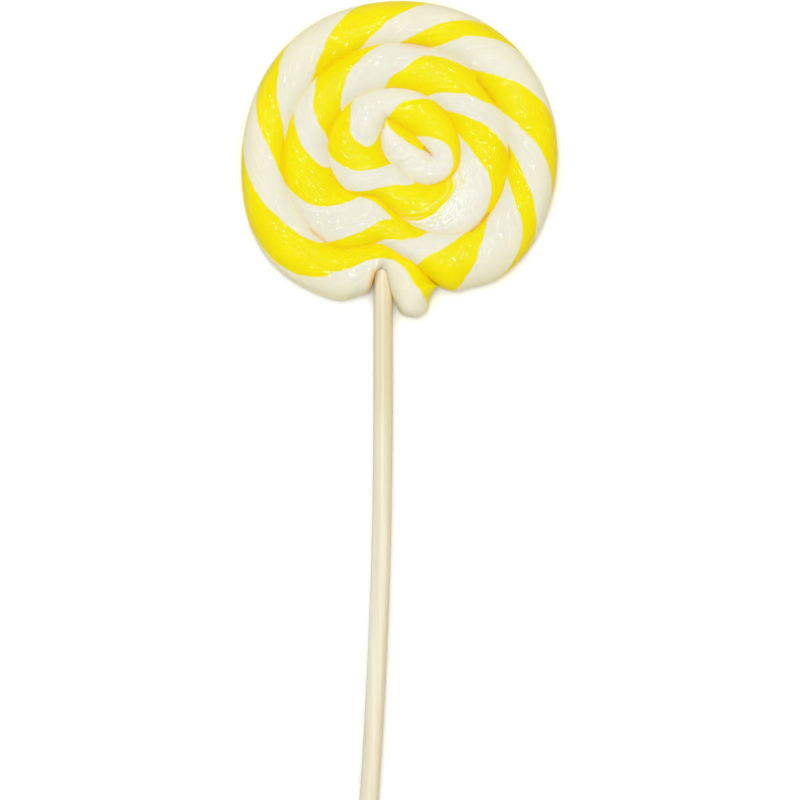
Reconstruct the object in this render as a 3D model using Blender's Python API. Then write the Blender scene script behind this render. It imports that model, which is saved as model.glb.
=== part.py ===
"""Swirl lollipop: a two-colour sugar rope wound into a flat spiral on a round wooden stick.

It lies on its back with its face up (+Z), the head towards +Y and the stick towards -Y.
The box around it is centred over the origin, and its underside rests on Z = 0.

The rope runs clockwise, seen from above, from a loose tail beside the stick to the curl in
the middle. A place along it is a turn angle in degrees: 0 points straight down the stick
from the head's centre, 90 to the left, and 360 is one whole turn further along the rope.
The rope's outer edge follows one line from the tail to the curl. Its inner edge is the same
line a turn later, so neighbouring turns share their groove.
"""

import math

import bmesh
import bpy
from mathutils import Vector

MM = 0.001

# The line of the rope's outer edge, as a distance from the head's centre.
RIM_RADIUS = 38.4 * MM

# Where the rope passes inside its own earlier turn: turn angle, length in degrees, step inward.
STEPS_INWARD = (
    (345.5, 19.6, 11.9 * MM),
    (701.0, 65.0, 11.6 * MM),
    (1048.0, 96.0, 11.4 * MM),
)

# Unevenness of the hand-wound coil: turn angle, spread in degrees, push outward.
BULGES = (
    (51.0, 28.0, 3.4 * MM),
    (180.0, 31.0, -1.3 * MM),
    (305.5, 12.0, 0.5 * MM),
    (335.5, 9.0, -2.5 * MM),
    (372.0, 16.5, -5.8 * MM),
    (401.0, 88.0, 2.7 * MM),
    (654.0, 19.0, 0.5 * MM),
    (747.0, 19.5, -3.0 * MM),
    (824.0, 64.0, 2.9 * MM),
    (1308.0, 81.0, 11.4 * MM),
)

# The rope's first and last places, and the notch where the first turn meets the tail.
TAIL_TURN = -16.0
NOTCH_TURN = TAIL_TURN + 360.0
END_TURN = 1238.0
GROOVE_GROWS_OVER = 8.0

# The curl: from CURL_TURN on, the rope's inner edge is a short seam. It runs in to the pivot,
# turns about it, and comes back out to the rope's end.
CURL_TURN = END_TURN - 360.0
PIVOT_FROM_TURN = 986.0
PIVOT_TO_TURN = 1058.0
PIVOT = Vector((7.8, -0.7)) * MM
SEAM_BOW = 1.0 * MM

# The tail's two sides, from its tip to the level of the notch.
TAIL_TIP = Vector((4.2, -40.7)) * MM
TAIL_LEFT = (TAIL_TIP, Vector((0.7, -40.1)) * MM, Vector((-1.0, -37.6)) * MM)
TAIL_RIGHT = (TAIL_TIP, Vector((6.6, -39.1)) * MM, Vector((7.5, -35.6)) * MM)
TAIL_ROUNDING = 5.5 * MM

# The rope's outer side from the tail, up over the stick and down to the lobe on its left.
SADDLE = (
    (TAIL_TURN, Vector((-2.1, -35.0)) * MM),
    (-7.0, Vector((-3.2, -31.9)) * MM),
    (-2.5, Vector((-3.8, -29.9)) * MM),
    (0.0, Vector((-4.9, -29.2)) * MM),
    (3.0, Vector((-6.0, -29.8)) * MM),
    (9.0, Vector((-6.8, -32.2)) * MM),
    (14.0, Vector((-7.7, -34.6)) * MM),
    (17.0, Vector((-10.2, -35.5)) * MM),
    (22.0, Vector((-14.4, -36.6)) * MM),
)
SADDLE_END_TURN = 32.0

# The rope's section: half heights above and below its middle, cut off flat underneath.
CREST = 5.7 * MM
UNDERSIDE = 5.3 * MM
REST_DEPTH = 4.9 * MM
ROPE_WIDTH = 10.6 * MM
GROOVE_RATIO_TOP = 0.7
GROOVE_RATIO_BOTTOM = 0.64
ROUNDNESS = 2.3

# The stick, a birch dowel.
STICK_RADIUS = 4.76 / 2.0 * MM
STICK_LENGTH = 178.0 * MM
STICK_X = -4.165 * MM
STICK_TOP_Y = 0.3 * MM
BOW_START_Y = -60.8 * MM
BOW_PER_METRE = 0.359
STICK_EDGE = 0.3 * MM
GAP = 0.3 * MM
HOLE_LENGTH = 45.0 * MM

# How finely the shapes are divided.
TURN_STEP = 6.0
TAIL_ROWS = 4
TOP_COLUMNS = 8
BOTTOM_COLUMNS = 6
STICK_SIDES = 20
STICK_RINGS = 15
WELD = 0.001 * MM


def smoothstep(amount):
    """Ease from 0 to 1 as amount goes from 0 to 1."""
    held = min(max(amount, 0.0), 1.0)
    return held * held * (3.0 - 2.0 * held)


def curve_through(knots, place):
    """A smooth curve through knots, pairs of a place and a value, read at one place."""
    last = len(knots) - 1
    index = 0
    while index < last - 1 and place > knots[index + 1][0]:
        index += 1

    def slope(at):
        before = knots[max(at - 1, 0)]
        after = knots[min(at + 1, last)]
        return (after[1] - before[1]) / (after[0] - before[0])

    (start, value), (finish, next_value) = knots[index], knots[index + 1]
    span = finish - start
    t = (place - start) / span
    rise = smoothstep(t)
    leave = t * (1.0 - t) ** 2 * span
    arrive = t ** 2 * (t - 1.0) * span
    return value * (1.0 - rise) + next_value * rise + slope(index) * leave + slope(index + 1) * arrive


def on_ray(turn, radius):
    """The point at a turn angle and a distance from the head's centre."""
    angle = math.radians(turn)
    return Vector((-math.sin(angle), -math.cos(angle))) * radius


def edge_radius(turn):
    """How far from the head's centre the rope's outer edge is."""
    radius = RIM_RADIUS
    for middle, length, inward in STEPS_INWARD:
        radius -= inward * smoothstep((turn - middle) / length + 0.5)
    for middle, spread, outward in BULGES:
        radius += outward * math.exp(-((turn - middle) / spread) ** 2)
    return radius


def edge_point(turn):
    """The rope's outer edge, seen from above."""
    if turn >= SADDLE_END_TURN:
        return on_ray(turn, edge_radius(turn))
    ends = (SADDLE_END_TURN, SADDLE_END_TURN + GROOVE_GROWS_OVER)
    knots = SADDLE + tuple((end, on_ray(end, edge_radius(end))) for end in ends)
    return curve_through(knots, turn)


def seam_point(share):
    """The seam inside the curl, from the rope's end at 0 to the pivot at 1."""
    start = on_ray(END_TURN, edge_radius(END_TURN))
    along = (PIVOT - start).normalized()
    aside = Vector((-along.y, along.x))
    return start.lerp(PIVOT, share) + aside * SEAM_BOW * math.sin(math.pi * share)


def seam_share(turn, step):
    """How far along the seam the inner edge is; both passes stop at the same points."""
    if turn <= PIVOT_FROM_TURN:
        return (turn - CURL_TURN) / (PIVOT_FROM_TURN - CURL_TURN)
    if turn <= PIVOT_TO_TURN:
        return 1.0
    stops = round((PIVOT_FROM_TURN - CURL_TURN) / step)
    return round(stops * (END_TURN - turn) / (END_TURN - PIVOT_TO_TURN)) / stops


def groove_share(turn):
    """The groove's height as a share: none on the rim, full from a little past the notch."""
    return smoothstep((turn - NOTCH_TURN) / GROOVE_GROWS_OVER)


def rope_rows(step):
    """The rope's rows: outer point, inner point, their groove shares, and the crest's share."""
    rows = []
    notch = edge_point(NOTCH_TURN)
    tail_start = edge_point(TAIL_TURN)
    for index in range(TAIL_ROWS):
        share = (index / TAIL_ROWS) ** 2
        stations = (0.0, 0.35, 0.7, 1.0)
        left = curve_through(tuple(zip(stations, TAIL_LEFT + (tail_start,))), share)
        right = curve_through(tuple(zip(stations, TAIL_RIGHT + (notch,))), share)
        middle = (left + right) / 2.0
        inset = min((middle - TAIL_TIP).length / TAIL_ROUNDING, 1.0)
        rows.append((left, right, 0.0, 0.0, (1.0 - (1.0 - inset) ** ROUNDNESS) ** (1.0 / ROUNDNESS)))
    for index in range(round((END_TURN - TAIL_TURN) / step) + 1):
        turn = TAIL_TURN + index * step
        outer = edge_point(turn)
        if turn < CURL_TURN:
            inner = edge_point(turn + 360.0)
        else:
            inner = seam_point(seam_share(turn, step))
        fullness = min((outer - inner).length / ROPE_WIDTH, 1.0) ** 0.5
        rows.append((outer, inner, groove_share(turn), groove_share(turn + 360.0), fullness))
    return rows


def section(row, half_height, groove_ratio, columns, side):
    """One row's points from the outer edge to the inner, above (side 1) or below (side -1)."""
    outer, inner, outer_share, inner_share, fullness = row
    valley = groove_ratio * half_height
    floor = valley * min(outer_share, inner_share)
    crest = floor + (half_height - floor) * fullness
    if crest <= 0.0:
        return [Vector((outer.x, outer.y, 0.0))] * (columns + 1)
    power = ROUNDNESS / 2.0
    start = math.asin(min(valley * outer_share / crest, 1.0) ** power)
    finish = math.pi - math.asin(min(valley * inner_share / crest, 1.0) ** power)

    def across(angle):
        return math.copysign(abs(math.cos(angle)) ** (1.0 / power), math.cos(angle))

    points = []
    for column in range(columns + 1):
        angle = start + (finish - start) * column / columns
        span = across(start) - across(finish)
        share = (across(start) - across(angle)) / span if span > 0.0 else column / columns
        spot = outer.lerp(inner, share)
        height = crest * abs(math.sin(angle)) ** (1.0 / power)
        points.append(Vector((spot.x, spot.y, side * height)))
    return points


def add_skin(bm, sections, side):
    """Join neighbouring sections with faces that point up (side 1) or down (side -1)."""
    grid = [[bm.verts.new(point) for point in points] for points in sections]
    for near, far in zip(grid, grid[1:]):
        for column in range(len(near) - 1):
            corners = [near[column], near[column + 1], far[column + 1], far[column]]
            bm.faces.new(corners[::side])


def flatten_underside(bm):
    """Press the lowest part of the underside flat, where the head rests."""
    for vert in bm.verts:
        vert.co.z = max(vert.co.z, -REST_DEPTH)


def make_mesh(name, bm):
    """Turn a bmesh into a mesh with clean, welded faces."""
    bmesh.ops.remove_doubles(bm, verts=bm.verts, dist=WELD)
    bmesh.ops.dissolve_degenerate(bm, dist=WELD, edges=bm.edges)
    bmesh.ops.triangulate(bm, faces=bm.faces)
    mesh = bpy.data.meshes.new(name)
    bm.to_mesh(mesh)
    bm.free()
    return mesh


def make_material(name, colour, roughness):
    """A plain Principled material."""
    material = bpy.data.materials.new(name)
    material.use_nodes = True
    shader = material.node_tree.nodes["Principled BSDF"]
    shader.inputs["Base Color"].default_value = (*colour, 1.0)
    shader.inputs["Roughness"].default_value = roughness
    shader.inputs["Metallic"].default_value = 0.0
    return material


def add_object(name, mesh, material=None):
    """Put a mesh into the scene as an object."""
    made = bpy.data.objects.new(name, mesh)
    bpy.context.collection.objects.link(made)
    if material:
        mesh.materials.append(material)
    mesh.shade_smooth()
    return made


def stick_centre(y):
    """The stick's middle at a height along the lollipop: straight, then bowing to the left."""
    below = max(BOW_START_Y - y, 0.0)
    return Vector((STICK_X - BOW_PER_METRE * below ** 2, y, 0.0))


def build_head():
    """The candy head, one solid rope coiled flat."""
    rows = rope_rows(TURN_STEP)
    top = [section(row, CREST, GROOVE_RATIO_TOP, TOP_COLUMNS, 1) for row in rows]
    bottom = [section(row, UNDERSIDE, GROOVE_RATIO_BOTTOM, BOTTOM_COLUMNS, -1) for row in rows]
    bm = bmesh.new()
    add_skin(bm, top, 1)
    add_skin(bm, bottom, -1)
    flatten_underside(bm)
    candy = make_material("Pulled sugar", (0.91, 0.80, 0.06), 0.18)
    return add_object("candy_head", make_mesh("candy_head", bm), candy)


def drill_stick_hole(head):
    """Cut the blind hole that the stick sits in, open where the rope saddles the stick."""
    radius = STICK_RADIUS + GAP
    bm = bmesh.new()
    bmesh.ops.create_cone(
        bm, cap_ends=True, segments=STICK_SIDES, radius1=radius, radius2=radius, depth=HOLE_LENGTH
    )
    cutter = add_object("stick_hole", make_mesh("stick_hole", bm))
    cutter.rotation_euler.x = math.radians(90.0)
    cutter.location = (STICK_X, STICK_TOP_Y + GAP - HOLE_LENGTH / 2.0, 0.0)
    cutter.hide_render = True
    cutter.display_type = "WIRE"
    drill = head.modifiers.new("Stick hole", "BOOLEAN")
    drill.operation = "DIFFERENCE"
    drill.object = cutter
    return cutter


def build_stick():
    """The wooden stick: a round rod along its bowed line, its ends eased by a small bevel."""
    full = STICK_RADIUS
    eased = STICK_RADIUS - STICK_EDGE
    stations = [(0.0, eased), (STICK_EDGE, full)]
    for ring in range(1, STICK_RINGS):
        stations.append((STICK_LENGTH * ring / STICK_RINGS, full))
    stations += [(STICK_LENGTH - STICK_EDGE, full), (STICK_LENGTH, eased)]
    bm = bmesh.new()
    loops = []
    for along, radius in stations:
        centre = stick_centre(STICK_TOP_Y - along)
        loop = []
        for side in range(STICK_SIDES):
            angle = 2.0 * math.pi * side / STICK_SIDES
            offset = Vector((math.cos(angle), 0.0, math.sin(angle))) * radius
            loop.append(bm.verts.new(centre + offset))
        loops.append(loop)
    for near, far in zip(loops, loops[1:]):
        for side in range(STICK_SIDES):
            following = (side + 1) % STICK_SIDES
            bm.faces.new((near[side], near[following], far[following], far[side]))
    bm.faces.new(loops[0][::-1])
    bm.faces.new(loops[-1])
    bmesh.ops.recalc_face_normals(bm, faces=bm.faces)
    birch = make_material("Birch wood", (0.82, 0.74, 0.55), 0.55)
    return add_object("stick", make_mesh("stick", bm), birch)


def middle_of(pieces, axis):
    """The middle, along one axis, of the box around some pieces."""
    reach = [vert.co[axis] for piece in pieces for vert in piece.data.vertices]
    return (min(reach) + max(reach)) / 2.0


def main():
    for leftover in list(bpy.data.objects):
        bpy.data.objects.remove(leftover)
    head = build_head()
    cutter = drill_stick_hole(head)
    stick = build_stick()

    lollipop = bpy.data.objects.new("lollipop", None)
    bpy.context.collection.objects.link(lollipop)
    solids = (head, stick)
    lollipop.location = (-middle_of(solids, 0), -middle_of(solids, 1), REST_DEPTH)
    for piece in (head, cutter, stick):
        piece.parent = lollipop


main()
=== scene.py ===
"""The looks of the swirl lollipop: twisted sugar strands, grooves and glaze, and the birch stick.

The candy is built again from the construction's own rule, as a much finer mesh with relief.
The rope runs clockwise, seen from above. A place along it is a turn angle in degrees: 0 points
straight down the stick from the head's centre, 90 to the left, and 360 is a turn further along.
A place round it is a section angle: 0 on the outer side, 90 on the crest, 180 on the inner
side and 270 underneath. Lengths are in millimetres, unless a comment says otherwise.
"""
import math
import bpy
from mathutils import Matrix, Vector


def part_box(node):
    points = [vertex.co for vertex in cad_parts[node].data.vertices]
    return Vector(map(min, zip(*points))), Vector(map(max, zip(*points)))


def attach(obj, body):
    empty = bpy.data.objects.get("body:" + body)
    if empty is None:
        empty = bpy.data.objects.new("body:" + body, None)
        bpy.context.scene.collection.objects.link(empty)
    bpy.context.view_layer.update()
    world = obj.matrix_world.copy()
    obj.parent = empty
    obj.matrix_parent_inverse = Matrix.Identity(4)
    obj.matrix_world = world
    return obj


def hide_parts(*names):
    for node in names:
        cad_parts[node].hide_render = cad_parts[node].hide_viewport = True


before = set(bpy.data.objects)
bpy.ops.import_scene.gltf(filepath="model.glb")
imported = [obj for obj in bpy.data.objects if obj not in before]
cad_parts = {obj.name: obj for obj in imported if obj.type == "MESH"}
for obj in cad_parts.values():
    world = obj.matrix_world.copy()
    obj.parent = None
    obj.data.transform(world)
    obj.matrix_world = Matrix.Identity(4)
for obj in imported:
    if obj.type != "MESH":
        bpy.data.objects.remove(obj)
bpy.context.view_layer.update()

from types import SimpleNamespace

import bpy
import numpy as np
from mathutils import Vector, noise

MM = 0.001

# ---------------- the rope's line, as in the construction
RIM_RADIUS = 38.4

# Where the rope passes inside its own earlier turn: turn angle, length in degrees, step inward.
STEPS_INWARD = ((345.5, 19.6, 11.9), (701.0, 65.0, 11.6), (1048.0, 96.0, 11.4))

# Unevenness of the hand-wound coil: turn angle, spread in degrees, push outward.
BULGES = (
    (51.0, 28.0, 3.4),
    (180.0, 31.0, -1.3),
    (305.5, 12.0, 0.5),
    (335.5, 9.0, -2.5),
    (372.0, 16.5, -5.8),
    (401.0, 88.0, 2.7),
    (654.0, 19.0, 0.5),
    (747.0, 19.5, -3.0),
    (824.0, 64.0, 2.9),
    (1308.0, 81.0, 11.4),
)

# The rope's first and last places, and the notch where the first turn meets the tail.
TAIL_TURN = -16.0
NOTCH_TURN = TAIL_TURN + 360.0
END_TURN = 1238.0
GROOVE_GROWS_OVER = 8.0

# The curl: from CURL_TURN on, the rope's inner edge is a short seam. It runs in to the pivot,
# turns about it, and comes back out to the rope's end.
CURL_TURN = END_TURN - 360.0
PIVOT_FROM_TURN = 986.0
PIVOT_TO_TURN = 1058.0
PIVOT = np.array((7.8, -0.7))
SEAM_BOW = 1.0

# The tail's two sides, from its tip to the level of the notch.
TAIL_TIP = (4.2, -40.7)
TAIL_LEFT = (TAIL_TIP, (0.7, -40.1), (-1.0, -37.6))
TAIL_RIGHT = (TAIL_TIP, (6.6, -39.1), (7.5, -35.6))
TAIL_STATIONS = (0.0, 0.35, 0.7, 1.0)
TAIL_ROUNDING = 5.5

# The rope's outer side from the tail, up over the stick and down to the lobe on its left.
SADDLE = (
    (TAIL_TURN, (-2.1, -35.0)),
    (-7.0, (-3.2, -31.9)),
    (-2.5, (-3.8, -29.9)),
    (0.0, (-4.9, -29.2)),
    (3.0, (-6.0, -29.8)),
    (9.0, (-6.8, -32.2)),
    (14.0, (-7.7, -34.6)),
    (17.0, (-10.2, -35.5)),
    (22.0, (-14.4, -36.6)),
)
SADDLE_END_TURN = 32.0

# The rope's section: half heights above and below its middle, cut off flat underneath.
CREST = 5.7
UNDERSIDE = 5.3
REST_DEPTH = 4.9
ROPE_WIDTH = 10.6
GROOVE_RATIO_TOP = 0.7
GROOVE_RATIO_BOTTOM = 0.64
ROUNDNESS = 2.3

# The stick, and its hole in the head. The sugar has set against the wood, so the gap round it is
# less than the construction's.
STICK_RADIUS = 2.38
STICK_LENGTH = 178.0
STICK_X = -4.165
STICK_TOP_Y = 0.3
BOW_START_Y = -60.8
BOW_PER_MM = 0.359 * MM
HOLE_GAP = 0.05
HOLE_LENGTH = 45.0

# ---------------- the twist of the strands
# Each yellow strand that crosses the rope, wide and narrow in turn: its leading and its trailing
# edge, as turn angles at equal steps of section angle from the outer to the inner shoulder. Here
# the section angle is taken on a profile whose grooves are as deep as STRAND_GROOVE_RATIO says.
OUTER_SHOULDER = 35.0
INNER_SHOULDER = 145.0
STRAND_GROOVE_RATIO = 0.56
STRANDS = (
    ((50, 41, 36, 31.5, 27, -10, -19.5, -21.5, -23.5), (85, 75.5, 64, 47.5, 38.5)),
    ((110.5, 103, 95.5, 86, 74.5), (129, 122, 112.5, 104, 95)),
    ((161, 155, 146, 136.5, 129), (187, 181, 172.5, 164.5, 158)),
    ((210, 203, 195, 187.5, 181.5), (224, 216, 207.5, 202, 196.5)),
    ((253, 246, 237, 228.5, 221.5), (279.5, 271.5, 263, 254, 247)),
    ((300, 293.5, 285, 275.5, 267.5), (312, 303.5, 296.5, 289.5, 282.5)),
    ((336.5, 331, 323.5, 315.5, 308), (351, 348.5, 344, 331.5, 321)),
    ((376, 368, 357, 348, 342), (398.5, 391.5, 377.5, 368, 403)),
    ((433, 423.5, 414, 407, 402.5), (469, 461, 449.5, 439.5, 436.5)),
    ((492, 485.5, 474.5, 467, 461), (528, 516, 502, 491, 484)),
    ((581, 555.5, 545.5, 533, 527.5), (605, 598.5, 585.5, 573, 566)),
    ((631, 621, 610, 598.5, 589), (671, 651.5, 639, 626, 613)),
    ((716, 704, 687.5, 662.5, 653.5), (771, 753.5, 731.5, 707.5, 692.5)),
    ((810, 797, 784, 772.5, 760.5), (855, 844.5, 823.5, 819.5, 855)),
    ((933, 917.5, 899.5, 890, 880), (1034, 998, 971, 953.5, 941.5)),
    ((1226, 1222, 1221, 1225, 1234, 1203, 1112, 1086, 1068), (1400, 1350, 1300)),
)
EDGES_PER_TWIST = 4

# Places where the whole twist has slipped round the rope: turn angle, spread in degrees, and
# degrees of section angle at the most.
SLIPS = ((16.0, 8.0, -12.0), (-15.0, 3.0, 7.0))

# The twist's phase is 0 in the middle of the wide strand and 360 a twist later.
WIDE_HALF = 48.0
NARROW_HALF = 30.0
NARROW_AFTER_WIDE = 172.0

# How far along the rope the twists beyond the first and the last strand lie, in degrees.
TWIST_BEFORE = 200.0
TWIST_AFTER = 600.0

# The tail's rows are at turn angles too, this many degrees from the tip to TAIL_TURN.
TAIL_SPAN = 20.0

# From phase to length: the least change of phase for each millimetre, where the depth inside a
# strand is worked out, and a strand's own width for each degree of phase.
LEAST_PHASE_PER_MM = 4.0
STRAND_MM_PER_DEGREE = 0.092

# ---------------- relief
# On the candy: lumps, pulled wrinkles, dimples and a crease along each strand's border. They all
# grow from nothing at the grooves and the rim, over the inset.
LUMP_SIZE, LUMP_HEIGHT = 7.5, 0.16
WRINKLE_LENGTH, WRINKLE_WIDTH, WRINKLE_HEIGHT = 9.0, 1.5, 0.05
DIMPLE_SIZE, DIMPLE_HEIGHT = 1.6, 0.03
CREASE_WIDTH, CREASE_DEPTH = 0.35, 0.05
RELIEF_INSET = 2.4

# The candy is drawn in a little, so that its relief stays inside the construction's box.
SHRINK = 0.9965

# On the stick: its grain, and how far its ends are rounded, with the rings there as shares of it.
GRAIN_WIDTH, GRAIN_LENGTH, GRAIN_DEPTH = 0.5, 14.0, 0.02
STICK_EASE = 0.35
EASE_RINGS = np.array((0.0, 0.3, 1.0))

# ---------------- where the sugar's colour changes
# How far the painted shade reaches: deeper colour close to a groove, wider painted shade on the slopes
# beside it, and painted shade at the free rim.
GROOVE_REACH = 0.45
AWAY_SHADE_REACH = 1.9
RIM_REACH = 2.8

# The wider painted shade is deepest on slopes that face this way, away from the light: how sharply it
# starts, and its share elsewhere.
SHADED_SIDE = np.array((0.6, -0.8, 0.0))
SHADE_SHARPNESS = 0.8
LEAST_AWAY_SHADE = 0.15

# Short lines of painted shade, along some grooves and in the crevice beside the stick: start, end, reach
# and strength.
SHADE_LINES = (
    ((-6.0, -29.7), (-7.2, -34.1), 0.9, 1.0),
    ((-22.0, -19.1), (-18.4, -22.0), 0.35, 0.7),
    ((0.5, 26.6), (6.9, 25.7), 0.6, 0.4),
    ((17.6, -19.3), (21.6, -15.3), 0.45, 0.7),
    ((5.9, 1.0), (7.6, -0.7), 0.4, 0.7),
    ((19.1, 17.6), (23.0, 12.5), 0.5, 0.4),
    ((26.5, 1.5), (27.0, -1.5), 0.4, 0.4),
)

# Where the pulled sugar looks brushed: the twist's phase, its spread and the strength.
BRUSHED = ((2450.0, 40.0, 1.0), (2975.0, 32.0, 0.35))

# A border between yellow and white wavers, and turns from white to yellow between two depths
# inside the yellow strand. Where the sugar is brushed, the two run into each other in streaks,
# less and less from the near distance to the far one.
BORDER_WAVER = 0.5
WHITE_TO, YELLOW_FROM = -0.5, 0.02
STREAKS_NEAR, STREAKS_FAR, STREAKS_SWING = 0.2, 3.2, 0.75

# The hole's wall is as white as the face here, deep inside the milk-white strand.
MILKY_PLACE = (-4.2, -28.0)
MILKY_DEPTH = -3.0

# The stick turns darker and yellower towards the head, more and more between these heights in metres.
HEADWARD_FROM, HEADWARD_TO = -0.006, 0.019

# How deep the fine relief is that only the shading shows: on the sugar, in its glaze, on birch.
SUGAR_BUMP, GLAZE_BUMP, BIRCH_BUMP = 0.06, 0.5, 0.05

# ---------------- colours, as a display shows them: red, green and blue from 0 to 255
LEMON = ((231, 221, 10), (229, 217, 6))
MILK = ((224, 222, 208), (221, 219, 203))

# Shades laid over these two in turn: the measure that each follows, its share at most, the shade.
LEMON_LAYERS = (
    ("fibre", 0.35, (239, 229, 34)),
    # painted shade: on slopes facing away from the light, in the grooves and at the free rim
    ("pool", 0.9, (233, 206, 2)),
    ("groove", 1.0, (236, 206, 4)),
    ("rim", 0.8, (249, 213, 4)),
)
MILK_LAYERS = (
    ("fibre", 0.6, (234, 233, 222)),
    # whiter brushed streaks: partly pale pulled sugar, partly painted sheen
    ("pale_streaks_and_sheen", 0.9, (242, 242, 239)),
    # painted shade: on slopes facing away from the light, in the grooves and at the free rim
    ("pool", 0.7, (226, 218, 178)),
    ("groove", 0.7, (230, 220, 176)),
    ("rim", 0.9, (248, 235, 160)),
)
# Painted shade along the short lines, on the white and on the yellow.
LINE_SHADE_ON_MILK = (232, 180, 94)
LINE_SHADE_ON_LEMON = (204, 148, 8)
BIRCH_DARK, BIRCH_LIGHT = (219, 212, 184), (231, 226, 208)
# The birch's colours towards the head, darker and yellower.
HEADWARD_DARK, HEADWARD_LIGHT = (212, 201, 165), (223, 215, 190)
BIRCH_LAYERS = (
    ("mottle", 0.4, (226, 210, 178)),
    # painted shade on the stick's right side, away from the light
    ("heart", 0.5, (226, 206, 150)),
    ("pores", 0.4, (198, 178, 138)),
)

# Noise that follows the strands: cells for each millimetre along and across them.
STREAKS = (0.07, 1.5, 1.0)
COMBED = (0.8, 3.0, 1.0)
FIBRE = (0.12, 1.1, 1.0)
FINE = (0.35, 3.2, 1.0)
DRAWN = (0.25, 0.85, 1.0)

# Noise on the sugar that is the same every way: cells for each metre.
WAVER, CLOUD, GRANULAR = 420.0, 90.0, 600.0

# Noise on the birch: cells for each metre across, along and up through the stick.
BIRCH_STREAKS = (900.0, 14.0, 900.0)
BIRCH_PORES = (3600.0, 110.0, 3600.0)
BIRCH_MOTTLE = 45.0

# ---------------- the maps, whose sides are 1 long
# The candy's face and underside are seen from above, each in a square of its own: half its side,
# the gap to the map's edge, and the length on the candy that half its side stands for. The rim is
# spread out a little, as it is steep.
UV_NAME = "OFBake"
MAP_REACH_TOP, MAP_REACH_BOTTOM = 0.35, 0.215
MAP_MARGIN = 0.008
MAP_RADIUS = 44.5
MAP_RIM_SPREAD = 0.09

# The stick is rolled out, and each of its end caps takes this share of its length.
CAP_SPAN = 0.02

# ---------------- the stage
# The picture's side where the lollipop lies, how far its middle is below the head's centre, and
# a lens so long that there is next to no perspective.
PICTURE_SIZE = 196.0
PICTURE_BELOW_HEAD = 60.76
LENS, SENSOR = 800.0, 36.0

# The floor, in metres: its side, and how far it is below the lollipop.
FLOOR_SIZE, FLOOR_DROP = 4.0, 0.0001

# The light: the surround's strength, then each lamp's place from the head's middle and its size
# in metres, and the share of full white that it gives.
SURROUND = 0.1
KEY_PLACE, KEY_SIZE, KEY_SHARE = (-0.05, 0.08, 1.2), 0.16, 0.18
SOFT_PLACE, SOFT_SIZE, SOFT_SHARE = (-0.02, 0.07, 1.2), 1.5, 0.94

# ---------------- how finely the shapes are divided
TURN_STEP = 0.75
TAIL_ROWS = 40
TOP_COLUMNS = 36
BOTTOM_COLUMNS = 14
HOLE_SIDES = 60
STICK_SIDES, STICK_RINGS, STICK_END_SPAN = 72, 180, 1.0

# Points this close are one point, and spans and facing areas less than these count as none.
WELD = 0.001
LEAST_SPAN = 1e-6
LEAST_FACING = 1e-9


def smoothstep(amount):
    """Ease from 0 to 1 as amount goes from 0 to 1."""
    held = np.clip(amount, 0.0, 1.0)
    return held * held * (3.0 - 2.0 * held)


def hills(places, rows):
    """The sum of some soft hills along a line, each given by its middle, spread and height."""
    return sum(height * np.exp(-(((places - middle) / spread) ** 2)) for middle, spread, height in rows)


def curve_through(stations, values, places):
    """A smooth curve through the values at the stations, read at many places."""
    stations = np.asarray(stations, float)
    values = np.asarray(values, float).reshape(len(stations), -1)
    last = len(stations) - 1
    before = np.maximum(np.arange(last + 1) - 1, 0)
    after = np.minimum(np.arange(last + 1) + 1, last)
    slopes = (values[after] - values[before]) / (stations[after] - stations[before])[:, None]
    index = np.searchsorted(stations[1:last], places, side="left")
    span = stations[index + 1] - stations[index]
    t = (places - stations[index]) / span
    rise = smoothstep(t)[:, None]
    leave = (t * (1.0 - t) ** 2 * span)[:, None]
    arrive = (t**2 * (t - 1.0) * span)[:, None]
    straight = values[index] * (1.0 - rise) + values[index + 1] * rise
    return straight + slopes[index] * leave + slopes[index + 1] * arrive


def on_ray(turns, radii):
    """The points at some turn angles and distances from the head's centre."""
    angles = np.radians(turns)
    return np.stack((-np.sin(angles) * radii, -np.cos(angles) * radii), axis=-1)


def edge_radius(turns):
    """How far from the head's centre the rope's outer edge is."""
    radii = np.full(len(turns), RIM_RADIUS)
    for middle, length, inward in STEPS_INWARD:
        radii -= inward * smoothstep((turns - middle) / length + 0.5)
    return radii + hills(turns, BULGES)


def edge_points(turns):
    """The rope's outer edge, seen from above."""
    ends = np.array((SADDLE_END_TURN, SADDLE_END_TURN + GROOVE_GROWS_OVER))
    stations = [turn for turn, point in SADDLE] + list(ends)
    knots = [point for turn, point in SADDLE] + list(on_ray(ends, edge_radius(ends)))
    saddle = curve_through(stations, knots, np.minimum(turns, SADDLE_END_TURN))
    beyond = on_ray(turns, edge_radius(turns))
    return np.where((turns >= SADDLE_END_TURN)[:, None], beyond, saddle)


def seam_share(turns):
    """How far along the seam the rope's inner edge is; both passes stop at the same points."""
    stops = round((PIVOT_FROM_TURN - CURL_TURN) / TURN_STEP)
    back = np.round(stops * (END_TURN - turns) / (END_TURN - PIVOT_TO_TURN)) / stops
    there = (turns - CURL_TURN) / (PIVOT_FROM_TURN - CURL_TURN)
    return np.where(turns <= PIVOT_FROM_TURN, there, np.minimum(back, 1.0))


def seam_points(share):
    """The rope's inner edge inside the curl, along a seam that its two passes share."""
    start = on_ray(np.array([END_TURN]), edge_radius(np.array([END_TURN])))[0]
    along = (PIVOT - start) / np.linalg.norm(PIVOT - start)
    aside = np.array((-along[1], along[0]))
    share = share[:, None]
    return start + (PIVOT - start) * share + aside * SEAM_BOW * np.sin(np.pi * share)


def groove_share(turns):
    """The groove's height as a share: none on the rim, full from a little past the notch."""
    return smoothstep((turns - NOTCH_TURN) / GROOVE_GROWS_OVER)


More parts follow.
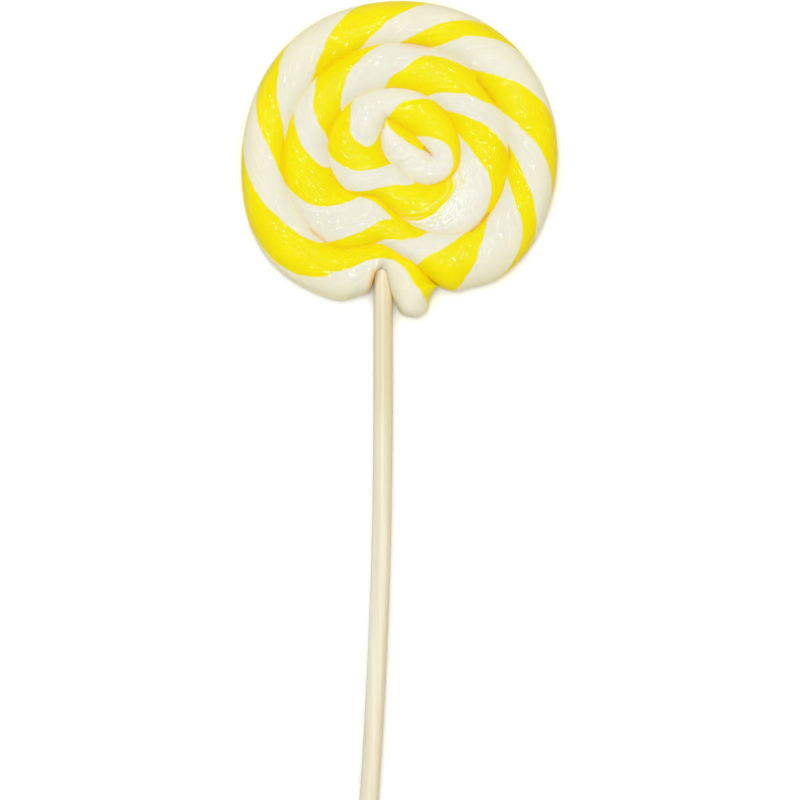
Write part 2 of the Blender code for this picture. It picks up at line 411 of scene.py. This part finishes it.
def rope_rows():
    """The rope's rows from the tail's tip to the rope's end."""
    share = (np.arange(TAIL_ROWS) / TAIL_ROWS) ** 2
    start, notch = edge_points(np.array((TAIL_TURN, NOTCH_TURN)))
    left = curve_through(TAIL_STATIONS, (*TAIL_LEFT, start), share)
    right = curve_through(TAIL_STATIONS, (*TAIL_RIGHT, notch), share)
    inset = np.linalg.norm((left + right) / 2.0 - TAIL_TIP, axis=1) / TAIL_ROUNDING
    tail_full = (1.0 - (1.0 - np.minimum(inset, 1.0)) ** ROUNDNESS) ** (1.0 / ROUNDNESS)

    turns = np.arange(TAIL_TURN, END_TURN + TURN_STEP / 2.0, TURN_STEP)
    outer = edge_points(turns)
    in_curl = turns >= CURL_TURN
    inner = np.where(in_curl[:, None], seam_points(seam_share(turns)), edge_points(turns + 360.0))
    full = np.minimum(np.linalg.norm(outer - inner, axis=1) / ROPE_WIDTH, 1.0) ** 0.5
    none = np.zeros(TAIL_ROWS)
    return SimpleNamespace(
        turn=np.concatenate((TAIL_TURN - TAIL_SPAN * (1.0 - share), turns)),
        outer=np.concatenate((left, outer)),
        inner=np.concatenate((right, inner)),
        outer_share=np.concatenate((none, groove_share(turns))),
        inner_share=np.concatenate((none, groove_share(turns + 360.0))),
        fullness=np.concatenate((tail_full, full)),
    )


def skin(rows, half_height, groove_ratio, columns, side):
    """The rows' points and section angles, above (side 1) or below (side -1)."""
    valley = groove_ratio * half_height
    floor = valley * np.minimum(rows.outer_share, rows.inner_share)
    crest = floor + (half_height - floor) * rows.fullness
    power = ROUNDNESS / 2.0

    def ends(depth):
        steepness = depth / np.maximum(crest, MM)
        start = np.arcsin(np.minimum(steepness * rows.outer_share, 1.0) ** power)
        finish = np.pi - np.arcsin(np.minimum(steepness * rows.inner_share, 1.0) ** power)
        return start[:, None], finish[:, None]

    def across(angle):
        return np.sign(np.cos(angle)) * np.abs(np.cos(angle)) ** (1.0 / power)

    station = np.linspace(0.0, 1.0, columns + 1)
    start, finish = ends(valley)
    angle = start + (finish - start) * station
    span = across(start) - across(finish)
    passed = across(start) - across(angle)
    share = np.where(span > LEAST_SPAN, passed / np.maximum(span, LEAST_SPAN), station)
    spot = rows.outer[:, None] * (1.0 - share[..., None]) + rows.inner[:, None] * share[..., None]
    height = side * crest[:, None] * np.abs(np.sin(angle)) ** (1.0 / power)
    strand_depth = min(groove_ratio, STRAND_GROOVE_RATIO) * half_height
    outermost, innermost = (across(end) for end in ends(strand_depth))
    reach = outermost + (innermost - outermost) * share
    degrees = np.degrees(np.arccos(np.sign(reach) * np.abs(reach) ** power))
    return SimpleNamespace(
        place=np.concatenate((spot, height[..., None]), axis=2),
        turn=np.broadcast_to(rows.turn[:, None], degrees.shape),
        angle=degrees if side > 0 else 360.0 - degrees,
        outer_share=np.broadcast_to(rows.outer_share[:, None], degrees.shape),
        inner_share=np.broadcast_to(rows.inner_share[:, None], degrees.shape),
        side=side,
    )


# ---------------- strands
def edge_turns(angles):
    """Where every strand edge in order lies along the rope, at each of some section angles.

    Over the top an edge has its turn angles in STRANDS, and runs on straight past the shoulders.
    Underneath it runs straight on, to where the same edge starts over the top a twist earlier.
    """
    held = np.clip(angles, 0.0, 180.0)
    edges, starts, ends = [], [], []
    for edge in (edge for strand in STRANDS for edge in strand):
        stations = np.linspace(OUTER_SHOULDER, INNER_SHOULDER, len(edge))
        step = stations[1] - stations[0]
        outer_slope = (edge[1] - edge[0]) / step
        inner_slope = (edge[-1] - edge[-2]) / step
        under_slope = (edge[-2] - edge[-3]) / step
        turns = curve_through(stations, edge, np.clip(held, OUTER_SHOULDER, INNER_SHOULDER))[:, 0]
        turns += outer_slope * np.minimum(held - OUTER_SHOULDER, 0.0)
        turns += inner_slope * np.maximum(held - INNER_SHOULDER, 0.0)
        edges.append(turns)
        starts.append(edge[0] - outer_slope * OUTER_SHOULDER)
        ends.append(edge[-2] + under_slope * (180.0 - stations[-2]))
    edges = np.maximum.accumulate(np.array(edges), axis=0)
    ends = np.maximum.accumulate(ends)
    first_starts = [start - TWIST_BEFORE for start in starts[:EDGES_PER_TWIST]]
    earlier = np.array(first_starts + starts[:-EDGES_PER_TWIST])
    below = np.clip((angles - 180.0) / 180.0, 0.0, 1.0)
    under = ends[:, None] + (earlier - ends)[:, None] * below
    edges = np.where(angles > 180.0, under, edges)
    before = edges[:EDGES_PER_TWIST] - TWIST_BEFORE
    after = edges[-EDGES_PER_TWIST:] + TWIST_AFTER
    return np.vstack((before, edges, after))


def strand_phases(grid):
    """The twist's phase at each point: 0 in the middle of the wide strand, 360 a twist later."""
    turns = grid.turn.ravel()
    angles = grid.angle.ravel()
    angles = angles + hills(turns, SLIPS) * np.maximum(np.sin(np.radians(angles)), 0.0)
    edges = edge_turns(angles)
    narrow_from, narrow_to = NARROW_AFTER_WIDE - NARROW_HALF, NARROW_AFTER_WIDE + NARROW_HALF
    one_twist = (-WIDE_HALF, WIDE_HALF, narrow_from, narrow_to)
    twists = range(len(edges) // EDGES_PER_TWIST)
    marks = np.array([360.0 * twist + mark for twist in twists for mark in one_twist])
    index = np.clip((edges <= turns).sum(axis=0) - 1, 0, len(edges) - 2)
    every = np.arange(len(turns))
    low, high = edges[index, every], edges[index + 1, every]
    share = np.clip((turns - low) / np.maximum(high - low, MM), 0.0, 1.0)
    return (marks[index] + share * (marks[index + 1] - marks[index])).reshape(grid.angle.shape)


def measure_strands(grid):
    """Add each point's normal, its place in the twist and how deep inside a yellow strand it is."""
    steps = [np.gradient(grid.place, axis=axis) for axis in (0, 1)]
    lengths = [np.maximum(np.linalg.norm(step, axis=2), MM) for step in steps]
    facing = np.cross(steps[1], steps[0]) * grid.side
    grid.normal = facing / np.maximum(np.linalg.norm(facing, axis=2), LEAST_FACING)[..., None]
    grid.phase = strand_phases(grid)
    rates = [np.gradient(grid.phase, axis=axis) / length for axis, length in enumerate(lengths)]
    steepness = np.maximum(np.hypot(*rates), LEAST_PHASE_PER_MM)
    wrapped = grid.phase % 360.0
    inside_wide = WIDE_HALF - np.minimum(wrapped, 360.0 - wrapped)
    inside_narrow = NARROW_HALF - np.abs(wrapped - NARROW_AFTER_WIDE)
    grid.yellow = np.maximum(inside_wide, inside_narrow) / steepness
    middle = grid.place[:, grid.place.shape[1] // 2]
    hops = np.linalg.norm(np.diff(middle, axis=0), axis=1)
    travelled = np.concatenate(((0.0,), np.cumsum(hops)))
    grid.along = np.broadcast_to(travelled[:, None], grid.angle.shape)
    grid.across = grid.phase * STRAND_MM_PER_DEGREE


def measure_edges(grid):
    """Add how near each point is to a groove and to the free rim, and its painted shade on slopes facing
    away from the light, from 0 to 1.
    """
    from_outer = np.linalg.norm(grid.place - grid.place[:, :1], axis=2)
    from_inner = np.linalg.norm(grid.place - grid.place[:, -1:], axis=2)

    def nearness(outer_share, inner_share, reach):
        at_outer = outer_share * np.exp(-from_outer / reach)
        at_inner = inner_share * np.exp(-from_inner / reach)
        return np.maximum(at_outer, at_inner)

    # Painted shade: slopes near a groove or the rim that face away from the light get a deeper colour.
    darkening = smoothstep(0.5 + SHADE_SHARPNESS * grid.normal @ SHADED_SIDE)
    grid.groove = nearness(grid.outer_share, grid.inner_share, GROOVE_REACH)
    grid.rim = nearness(1.0 - grid.outer_share, 1.0 - grid.inner_share, RIM_REACH)
    pool = nearness(grid.outer_share, grid.inner_share, AWAY_SHADE_REACH)
    pool *= LEAST_AWAY_SHADE + (1.0 - LEAST_AWAY_SHADE) * darkening
    grid.pool = np.maximum(pool, grid.rim * darkening)
    grid.inset = smoothstep(np.minimum(from_outer, from_inner) / RELIEF_INSET)


def noise_over(points):
    """Smooth noise from -1 to 1 at each of some points, an array of (x, y, z)."""
    flat = points.reshape(-1, 3)
    values = np.fromiter((noise.noise(Vector(point)) for point in flat), float, len(flat))
    return values.reshape(points.shape[:-1])


def relief(grid):
    """How far the candy's surface stands out: lumps, pulled wrinkles, dimples and creases."""
    lumps = noise_over(grid.place / LUMP_SIZE) * LUMP_HEIGHT
    level = np.zeros(grid.angle.shape)
    pulled = np.stack((grid.along / WRINKLE_LENGTH, grid.across / WRINKLE_WIDTH, level), axis=2)
    wrinkles = noise_over(pulled) * WRINKLE_HEIGHT
    dimples = noise_over(grid.place / DIMPLE_SIZE) * DIMPLE_HEIGHT
    crease = -CREASE_DEPTH * np.exp(-((grid.yellow / CREASE_WIDTH) ** 2))
    return (lumps + wrinkles + dimples + crease) * grid.inset


def listed(field):
    """A field over a grid as a plain list, with one value or vector for each point."""
    return field.reshape(-1, *field.shape[2:])


def quads(rows, columns, first, side):
    """The corners of a grid's faces, as indices from first on, turned to face out."""
    index = first + np.arange(rows * columns).reshape(rows, columns)
    corners = (index[:-1, :-1], index[:-1, 1:], index[1:, 1:], index[1:, :-1])
    return np.stack(corners[::side], axis=2).reshape(-1, 4)


def welded(places):
    """Places with every repeat left out, and for each given place its number among them."""
    keys = np.round(places / WELD).astype(np.int64)
    unique, first, number = np.unique(keys, axis=0, return_index=True, return_inverse=True)
    return places[first], number.reshape(-1)


def mesh_of(name, places, faces, corner_values):
    """A mesh with welded points; corner_values are kept for each face's corners by name."""
    points, number = welded(places)
    triangles = np.concatenate((faces[:, (0, 1, 2)], faces[:, (0, 2, 3)]))
    corners = number[triangles]
    real = (corners != np.roll(corners, 1, axis=1)).all(axis=1)
    triangles, corners = triangles[real], corners[real]
    mesh = bpy.data.meshes.new(name)
    mesh.from_pydata((points * MM).tolist(), [], corners.tolist())
    flat = triangles.ravel()
    for key, values in corner_values.items():
        field = values[flat].astype(np.float32).ravel()
        if key == UV_NAME:
            mesh.uv_layers.new(name=key).uv.foreach_set("vector", field)
        elif values.ndim == 2:
            mesh.attributes.new(key, "FLOAT_VECTOR", "CORNER").data.foreach_set("vector", field)
        else:
            mesh.attributes.new(key, "FLOAT", "CORNER").data.foreach_set("value", field)
    mesh.shade_smooth()
    mesh.validate()
    return mesh


def add_object(name, data):
    """Put a mesh, a lamp or a camera into the scene as an object."""
    made = bpy.data.objects.new(name, data)
    bpy.context.scene.collection.objects.link(made)
    return made


# ---------------- the candy head
def stain(grid):
    """How much painted shade each point has, along a few short lines in the grooves and beside the
    stick.
    """
    amount = np.zeros(grid.turn.shape)
    for start, end, reach, most in SHADE_LINES:
        line = np.array(end) - start
        spot = grid.place[..., :2] - start
        share = np.clip(spot @ line / (line @ line), 0.0, 1.0)
        away = np.linalg.norm(spot - share[..., None] * line, axis=2)
        amount = np.maximum(amount, most * np.exp(-((away / reach) ** 2)))
    return amount


def brushed(grid):
    """How brushed the pulled sugar looks at each point of the face, from 0 to 1."""
    return hills(grid.phase, BRUSHED) * (grid.side > 0)


def flat_map(grid):
    """Each point's place on the map: the face seen from above, or the smaller underside."""
    spread = 1.0 + np.abs(grid.rim) * MAP_RIM_SPREAD
    reach = MAP_REACH_TOP if grid.side > 0 else MAP_REACH_BOTTOM
    centre = reach + MAP_MARGIN if grid.side > 0 else 1.0 - reach - MAP_MARGIN
    return centre + grid.place[..., :2] * spread[..., None] * (reach / MAP_RADIUS)


def corner_fields(grid):
    """What the candy's mesh holds on its faces' corners, by name."""
    return {
        UV_NAME: flat_map(grid),
        "strand": np.stack((grid.along, grid.across, np.zeros(grid.angle.shape)), axis=2),
        "yellow": grid.yellow,
        # The next four measures drive painted shade in the colour: near the grooves, on slopes facing
        # away from the light, at the free rim and along short lines.
        "groove": grid.groove,
        "pool": grid.pool,
        "rim": grid.rim,
        "stain": stain(grid),
        "brushed": brushed(grid),
    }


def build_candy(centre):
    """The coiled rope: one closed mesh with relief, and its strands' measures on its corners."""
    rows = rope_rows()
    grids = (
        skin(rows, CREST - LUMP_HEIGHT / 2.0, GROOVE_RATIO_TOP, TOP_COLUMNS, 1),
        skin(rows, UNDERSIDE, GROOVE_RATIO_BOTTOM, BOTTOM_COLUMNS, -1),
    )
    places, faces, fields, first = [], [], [], 0
    for grid in grids:
        measure_strands(grid)
        measure_edges(grid)
        raised = grid.place + grid.normal * relief(grid)[..., None]
        raised[..., 2] = np.clip(raised[..., 2], -REST_DEPTH, CREST)
        raised[..., :2] *= SHRINK
        places.append(listed(raised) + centre)
        faces.append(quads(*grid.angle.shape, first, grid.side))
        fields.append({key: listed(field) for key, field in corner_fields(grid).items()})
        first += grid.angle.size
    joined = {key: np.concatenate([field[key] for field in fields]) for key in fields[0]}
    mesh = mesh_of("candy_swirl", np.concatenate(places), np.concatenate(faces), joined)
    return add_object("candy_swirl", mesh)


def drill(candy, centre):
    """Cut the blind hole that the stick sits in; its wall is milk-white sugar.

    The cutter has no material, so it leaves an empty slot behind the candy's own.
    """
    bpy.ops.mesh.primitive_cylinder_add(
        vertices=HOLE_SIDES,
        radius=(STICK_RADIUS + HOLE_GAP) * MM,
        depth=HOLE_LENGTH * MM,
        location=(centre + (STICK_X, STICK_TOP_Y + HOLE_GAP - HOLE_LENGTH / 2.0, 0.0)) * MM,
        rotation=(math.radians(90.0), 0.0, 0.0),
    )
    cutter = bpy.context.object
    corners = len(cutter.data.loops)
    layer = cutter.data.uv_layers[0]
    layer.name = UV_NAME
    milky_uv = MAP_REACH_TOP + MAP_MARGIN + np.array(MILKY_PLACE) * MAP_REACH_TOP / MAP_RADIUS
    layer.uv.foreach_set("vector", np.tile(milky_uv, corners))
    edge = cutter.data.attributes.new("yellow", "FLOAT", "CORNER")
    edge.data.foreach_set("value", np.full(corners, MILKY_DEPTH))
    cut = candy.modifiers.new("Stick hole", "BOOLEAN")
    cut.operation = "DIFFERENCE"
    cut.solver = "MANIFOLD"
    cut.object = cutter
    depsgraph = bpy.context.evaluated_depsgraph_get()
    drilled = bpy.data.meshes.new_from_object(candy.evaluated_get(depsgraph))
    candy.modifiers.clear()
    candy.data = drilled
    drilled.name = candy.name
    drilled.materials.pop(index=1)
    bpy.data.objects.remove(cutter)


# ---------------- materials
def linear(shade):
    """A display colour, 0 to 255, as the linear colour that a shader takes."""
    shares = [value / 255.0 for value in shade]
    return tuple(x / 12.92 if x <= 0.04045 else ((x + 0.055) / 1.055) ** 2.4 for x in shares) + (1.0,)


class Tree:
    """A material's nodes, made and joined in one go."""

    def __init__(self, name):
        self.material = bpy.data.materials.new(name)
        self.material.use_nodes = True
        self.nodes = self.material.node_tree.nodes
        self.links = self.material.node_tree.links
        self.shader = self.nodes["Principled BSDF"]

    def feed(self, socket, value):
        """Set a socket to a value, or link it to another socket."""
        if isinstance(value, bpy.types.NodeSocket):
            self.links.new(value, socket)
        else:
            socket.default_value = value

    def add(self, kind, settings, inputs):
        """A node with its settings and its inputs, by name or number."""
        made = self.nodes.new(kind)
        for key, value in settings.items():
            setattr(made, key, value)
        for key, value in inputs.items():
            self.feed(made.inputs[key], value)
        return made

    def finish(self, inputs):
        """Set or link the shader's own sockets, by name."""
        for key, value in inputs.items():
            self.feed(self.shader.inputs[key], value)
        return self.material

    def read(self, name, output="Fac"):
        """A measure that the mesh holds on its faces' corners."""
        return self.add("ShaderNodeAttribute", {"attribute_name": name}, {}).outputs[output]

    def maths(self, operation, first, second=0.0, clamp=False):
        """A step of arithmetic on one or two numbers."""
        settings = {"operation": operation, "use_clamp": clamp}
        return self.add("ShaderNodeMath", settings, {0: first, 1: second}).outputs[0]

    def ramp(self, value, low, high, to_low=0.0, to_high=1.0):
        """An eased step from to_low to to_high as value goes from low to high."""
        inputs = {"Value": value, "From Min": low, "From Max": high, "To Min": to_low, "To Max": to_high}
        return self.add("ShaderNodeMapRange", {"interpolation_type": "SMOOTHSTEP"}, inputs).outputs[0]

    def mix(self, share, first, second):
        """A colour between two colours, whose sockets share their names and so go by number."""
        inputs = {"Factor": share, 6: first, 7: second}
        return self.add("ShaderNodeMix", {"data_type": "RGBA"}, inputs).outputs[2]

    def lay_over(self, colour, layers, measures):
        """A colour with shades laid over it in turn, each as its measure and its share say."""
        for name, most, shade in layers:
            share = self.maths("MULTIPLY", measures[name], most)
            colour = self.mix(share, colour, linear(shade))
        return colour

    def stretch(self, vector, scale):
        """A vector with each of its axes scaled."""
        settings = {"operation": "MULTIPLY"}
        return self.add("ShaderNodeVectorMath", settings, {0: vector, 1: scale}).outputs[0]

    def noise(self, vector, scale, detail=2.0, roughness=0.5):
        """Cloudy noise around 0.5."""
        inputs = {"Vector": vector, "Scale": scale, "Detail": detail, "Roughness": roughness}
        return self.add("ShaderNodeTexNoise", {}, inputs).outputs[0]

    def stretched_noise(self, vector, cells, detail=2.0, roughness=0.5):
        """Noise with its own number of cells for each unit of each axis."""
        return self.noise(self.stretch(vector, cells), 1.0, detail, roughness)

    def bump(self, height, depth, strength=1.0):
        """A normal tilted as by relief, whose height goes from 0 to 1 over a depth."""
        inputs = {"Height": height, "Distance": depth * MM, "Strength": strength}
        return self.add("ShaderNodeBump", {}, inputs).outputs[0]


def yellow_share(tree, strand, place, streaky):
    """How yellow the sugar is: soft, uneven borders, drawn out to streaks where it is brushed."""
    waver = tree.maths("SUBTRACT", tree.noise(place, WAVER), 0.5)
    depth = tree.maths("ADD", tree.read("yellow"), tree.maths("MULTIPLY", waver, BORDER_WAVER))
    near_border = tree.ramp(tree.maths("ABSOLUTE", depth), STREAKS_NEAR, STREAKS_FAR, 1.0, 0.0)
    streaks = tree.stretched_noise(strand, STREAKS)
    swing = tree.ramp(streaks, 0.35, 0.65, -STREAKS_SWING, STREAKS_SWING)
    veil = tree.maths("MULTIPLY", tree.maths("MULTIPLY", streaky, near_border), swing)
    return tree.maths("ADD", tree.ramp(depth, WHITE_TO, YELLOW_FROM), veil, clamp=True)


def sugar_colour(tree, is_yellow, strand, place, pale_streaks_and_sheen):
    """Lemon and milk-white sugar with painted shade in the grooves, on slopes facing away from the
    light, at the rim and along a few short lines, and whiter brushed streaks that are partly painted
    sheen.
    """
    measures = {name: tree.read(name) for name in ("pool", "groove", "rim")}
    measures["fibre"] = tree.ramp(tree.stretched_noise(strand, FIBRE, 3.0), 0.5, 0.8)
    measures["pale_streaks_and_sheen"] = pale_streaks_and_sheen
    cloud = tree.noise(place, CLOUD)
    lemon = tree.mix(tree.ramp(cloud, 0.35, 0.7), *map(linear, LEMON))
    milk = tree.mix(tree.ramp(cloud, 0.3, 0.7), *map(linear, MILK))
    lemon = tree.lay_over(lemon, LEMON_LAYERS, measures)
    milk = tree.lay_over(milk, MILK_LAYERS, measures)
    # Painted shade along the short lines.
    line_shaded = tree.mix(is_yellow, linear(LINE_SHADE_ON_MILK), linear(LINE_SHADE_ON_LEMON))
    return tree.mix(tree.read("stain"), tree.mix(is_yellow, milk, lemon), line_shaded)


def sugar_material():
    """Glossy pulled sugar: soft, lit through from inside, under a thin glaze with waves in it."""
    tree = Tree("Pulled sugar")
    place = tree.add("ShaderNodeTexCoord", {}, {}).outputs["Object"]
    strand = tree.read("strand", "Vector")
    streaky = tree.read("brushed")
    rim = tree.read("rim")
    combed = tree.stretched_noise(strand, COMBED, 1.0)
    # Whiter brushed streaks on the milk: partly pale pulled sugar, partly painted sheen.
    pale_streaks_and_sheen = tree.maths("MULTIPLY", streaky, tree.ramp(combed, 0.45, 0.6))
    is_yellow = yellow_share(tree, strand, place, streaky)
    fine = tree.stretched_noise(strand, FINE, 3.0, 0.6)

    glaze = tree.ramp(is_yellow, 0.0, 1.0, 0.45, 0.5)
    off_rim = tree.ramp(rim, 0.02, 0.4, 1.0, 0.1)
    drawn = tree.stretched_noise(strand, DRAWN, 1.0)
    brush_marks = tree.maths("MULTIPLY", combed, tree.maths("MULTIPLY", streaky, 0.4))
    waves = tree.maths("ADD", drawn, tree.noise(place, GRANULAR, 1.0))
    waves = tree.maths("ADD", waves, brush_marks)
    return tree.finish({
        "Base Color": sugar_colour(tree, is_yellow, strand, place, pale_streaks_and_sheen),
        "Normal": tree.bump(fine, SUGAR_BUMP),
        "Roughness": tree.ramp(fine, 0.3, 0.7, 0.4, 0.5),
        "IOR": 1.5,
        "Specular IOR Level": 0.05,
        "Subsurface Weight": 0.7,
        "Subsurface Radius": (1.0, 0.75, 0.3),
        "Subsurface Scale": 2.5 * MM,
        "Coat Weight": tree.maths("MULTIPLY", off_rim, glaze),
        "Coat Roughness": 0.1,
        "Coat Normal": tree.bump(waves, GLAZE_BUMP, tree.ramp(rim, 0.1, 0.6, 1.0, 0.1)),
    })


def birch_material():
    """Pale smooth birch: long soft streaks of grain, fine pores, a little mottling, darker and yellower
    towards the head, and painted shade on its right side.
    """
    tree = Tree("Birch wood")
    place = tree.add("ShaderNodeTexCoord", {}, {}).outputs["Object"]
    streak = tree.stretched_noise(place, BIRCH_STREAKS, 3.0, 0.55)
    pores = tree.stretched_noise(place, BIRCH_PORES, 2.0, 0.6)
    measures = {
        "mottle": tree.ramp(tree.noise(place, BIRCH_MOTTLE), 0.45, 0.75),
        "heart": tree.read("heart"),
        "pores": tree.ramp(pores, 0.62, 0.8),
    }
    height = tree.add("ShaderNodeSeparateXYZ", {}, {"Vector": place}).outputs["Y"]
    darkening = tree.ramp(height, HEADWARD_FROM, HEADWARD_TO)
    dark = tree.mix(darkening, linear(BIRCH_DARK), linear(HEADWARD_DARK))
    light = tree.mix(darkening, linear(BIRCH_LIGHT), linear(HEADWARD_LIGHT))
    wood = tree.mix(tree.ramp(streak, 0.35, 0.68), dark, light)
    grain = tree.maths("ADD", tree.maths("MULTIPLY", streak, 0.7), pores)
    return tree.finish({
        "Base Color": tree.lay_over(wood, BIRCH_LAYERS, measures),
        "Specular IOR Level": 0.25,
        "Roughness": tree.ramp(streak, 0.3, 0.7, 0.5, 0.62),
        "Normal": tree.bump(grain, BIRCH_BUMP),
    })


# ---------------- the stick
def build_stick(centre):
    """The birch dowel, along the construction's bowed line, with eased and slightly uneven ends."""
    ease = STICK_EASE * EASE_RINGS
    rings = np.linspace(STICK_END_SPAN, STICK_LENGTH - STICK_END_SPAN, STICK_RINGS)
    along = np.concatenate((ease, rings, STICK_LENGTH - ease[::-1]))
    from_end = np.clip(np.minimum(along, STICK_LENGTH - along) / STICK_EASE, 0.0, 1.0)
    eased = STICK_EASE * (1.0 - np.sqrt(1.0 - (1.0 - from_end) ** 2))
    angle = np.linspace(0.0, 2.0 * math.pi, STICK_SIDES + 1)
    ring = np.stack((np.cos(angle), np.zeros(len(angle)), np.sin(angle)), axis=1)
    y = STICK_TOP_Y - along
    bow = BOW_PER_MM * np.maximum(BOW_START_Y - y, 0.0) ** 2
    spine = np.stack((STICK_X - bow, y, np.zeros(len(y))), axis=1)

    grain = np.tile(ring * STICK_RADIUS / GRAIN_WIDTH, (len(y), 1, 1))
    grain[..., 1] = (along / GRAIN_LENGTH)[:, None]
    radius = STICK_RADIUS - eased[:, None] + (noise_over(grain) - 1.0) * GRAIN_DEPTH
    radius[:, -1] = radius[:, 0]
    places = spine[:, None] + ring[None, :] * radius[..., None]
    top_cap, end_cap = (np.broadcast_to(spine[end], (1, len(angle), 3)) for end in (0, -1))
    places = np.concatenate((top_cap, places, end_cap))

    turn = np.broadcast_to(angle / (2.0 * math.pi), places.shape[:2])
    height = np.concatenate(((-CAP_SPAN,), along / STICK_LENGTH, (1.0 + CAP_SPAN,)))
    height = CAP_SPAN + height * (1.0 - 2.0 * CAP_SPAN)
    uv = np.stack((turn, np.broadcast_to(height[:, None], turn.shape)), axis=2)
    # Painted shade on the stick's right side, away from the light, strongest where the ring faces +x.
    heart = smoothstep(np.broadcast_to(np.cos(angle), turn.shape))
    values = {UV_NAME: listed(uv), "heart": listed(heart)}
    faces = quads(*places.shape[:2], 0, 1)
    return add_object("birch_stick", mesh_of("birch_stick", listed(places) + centre, faces, values))


# ---------------- the stage
def add_light(name, aim, offset, size, share, glossy):
    """A round light that gives a white surface facing it that share of full white.

    A disk lights a facing surface by its power / (pi * (distance squared + radius squared)), and
    white sends 1 / pi of that towards each side.
    """
    offset = Vector(offset)
    lamp = bpy.data.lights.new(name, "AREA")
    lamp.shape = "DISK"
    lamp.size = size
    lamp.energy = share * math.pi**2 * (offset.length_squared + (size / 2.0) ** 2)
    holder = add_object(name, lamp)
    holder.location = aim + offset
    holder.rotation_euler = offset.to_track_quat("Z", "Y").to_euler()
    holder.visible_camera = False
    holder.visible_glossy = glossy


def build_floor():
    """A plain pale floor, just under the lollipop."""
    bpy.ops.mesh.primitive_plane_add(size=FLOOR_SIZE, location=(0.0, 0.0, -FLOOR_DROP))
    floor = bpy.context.object
    floor.name = "floor"
    paper = Tree("Pale floor")
    paper.finish({
        "Base Color": (0.98, 0.98, 0.98, 1.0),
        "Roughness": 0.9,
        "Specular IOR Level": 0.0,
    })
    floor.data.materials.append(paper.material)


def build_surround():
    """A faint even light from all round."""
    world = bpy.data.worlds.new("Soft surround")
    world.use_nodes = True
    background = world.node_tree.nodes["Background"]
    background.inputs["Color"].default_value = (1.0, 1.0, 1.0, 1.0)
    background.inputs["Strength"].default_value = SURROUND
    bpy.context.scene.world = world


def build_camera(middle):
    """A far camera straight above, with the head high in its picture as in the photo."""
    distance = PICTURE_SIZE * MM / 2.0 / (SENSOR / 2.0 / LENS)
    lens = bpy.data.cameras.new("camera")
    lens.sensor_width = SENSOR
    lens.lens = LENS
    camera = add_object("camera", lens)
    camera.location = middle + Vector((0.0, -PICTURE_BELOW_HEAD * MM, distance))
    bpy.context.scene.camera = camera
    bpy.context.scene.view_settings.view_transform = "Standard"


def main():
    """Build both pieces and the stage."""
    stick_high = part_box("stick")[1]
    centre_x = stick_high.x / MM - STICK_X - STICK_RADIUS
    centre_y = stick_high.y / MM - STICK_TOP_Y
    centre = np.array((centre_x, centre_y, REST_DEPTH))
    candy = build_candy(centre)
    candy.data.materials.append(sugar_material())
    drill(candy, centre)
    stick = build_stick(centre)
    stick.data.materials.append(birch_material())
    for piece, node, finish in ((candy, "candy_head", "pulled_sugar"), (stick, "stick", "birch_wood")):
        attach(piece, "root")
        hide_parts(node)

    middle = Vector(centre) * MM
    build_floor()
    build_surround()
    build_camera(middle)
    add_light("key", middle, KEY_PLACE, KEY_SIZE, KEY_SHARE, True)
    add_light("soft", middle, SOFT_PLACE, SOFT_SIZE, SOFT_SHARE, False)


main()
